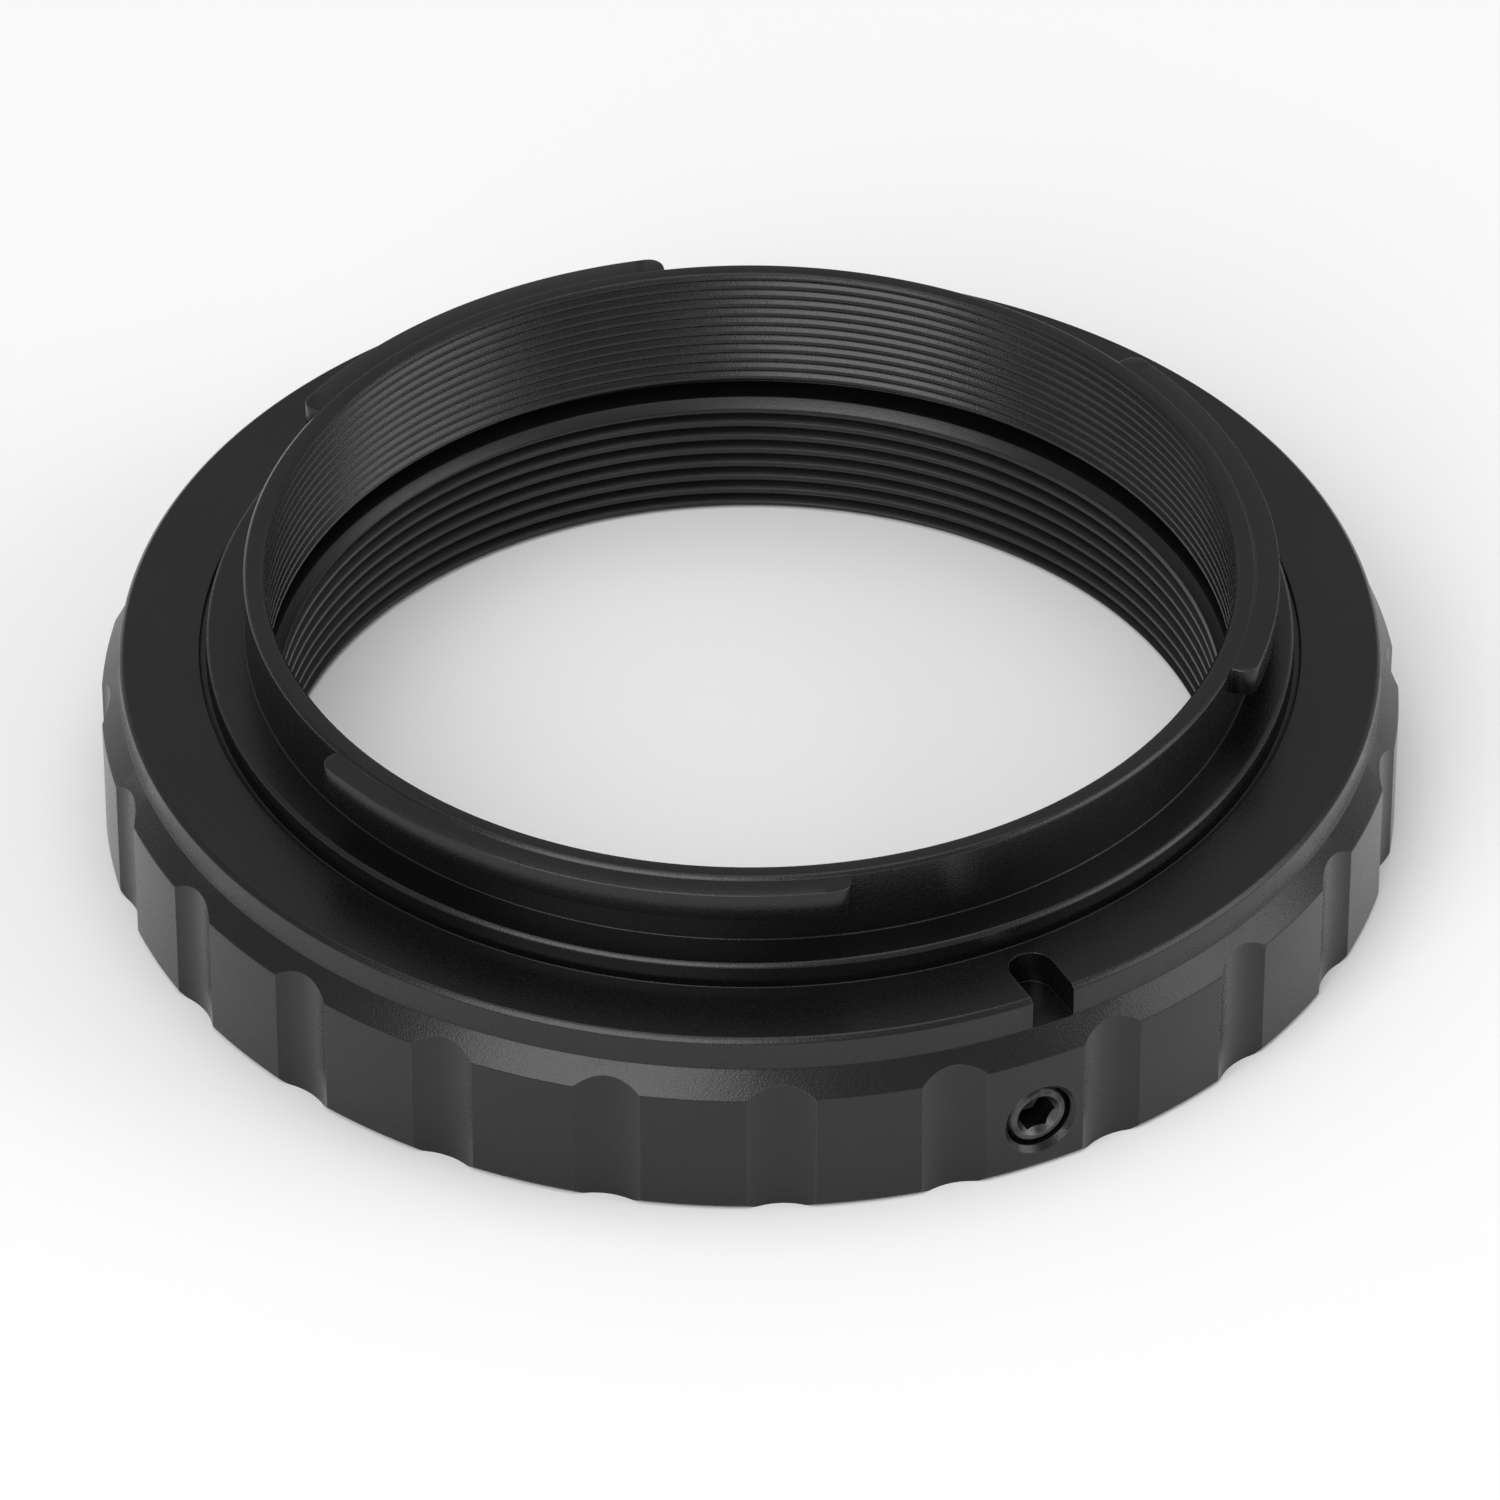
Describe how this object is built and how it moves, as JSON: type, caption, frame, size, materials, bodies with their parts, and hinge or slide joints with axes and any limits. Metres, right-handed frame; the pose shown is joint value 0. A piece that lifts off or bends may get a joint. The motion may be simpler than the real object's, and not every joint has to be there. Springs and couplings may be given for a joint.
{
  "type": "camera adapter ring",
  "caption": "Low black ring that joins a bayonet-mount camera to a telescope: bayonet collar on top, turning threaded ring inside, held by radial set screws.",
  "frame": {"origin": "on the optical axis, in the plane of the bottom face that rests on the telescope side", "axes": "+Z along the optical axis towards the camera; -Y is the front, and the lock slot and the first set screw are right of it"},
  "size_m": [0.0564, 0.0564, 0.0127],
  "materials": {
    "anodised_body": "satin black anodised, turned and blasted",
    "anodised_thread_ring": "satin black anodised, threaded",
    "black_oxide_steel": "black oxide"
  },
  "bodies": {
    "body": {"body": "anodised_body"},
    "thread_ring": {"thread_ring": "anodised_thread_ring"},
    "set_screw_1": {"set_screw_1": "black_oxide_steel"},
    "set_screw_2": {"set_screw_2": "black_oxide_steel"},
    "set_screw_3": {"set_screw_3": "black_oxide_steel"}
  },
  "joints": [
    {"name": "ring_turn", "type": "hinge", "parent": "body", "child": "thread_ring", "pos_m": [0, 0, 0], "axis": [0, 0, 1], "continuous": true},
    {"name": "screw_1_out", "type": "slide", "parent": "body", "child": "set_screw_1", "axis": [0.4337, -0.9011, 0], "range_m": [0, 0.0015]},
    {"name": "screw_2_out", "type": "slide", "parent": "body", "child": "set_screw_2", "axis": [0.5635, 0.8261, 0], "range_m": [0, 0.0015]},
    {"name": "screw_3_out", "type": "slide", "parent": "body", "child": "set_screw_3", "axis": [-0.9972, 0.075, 0], "range_m": [0, 0.0015]}
  ]
}
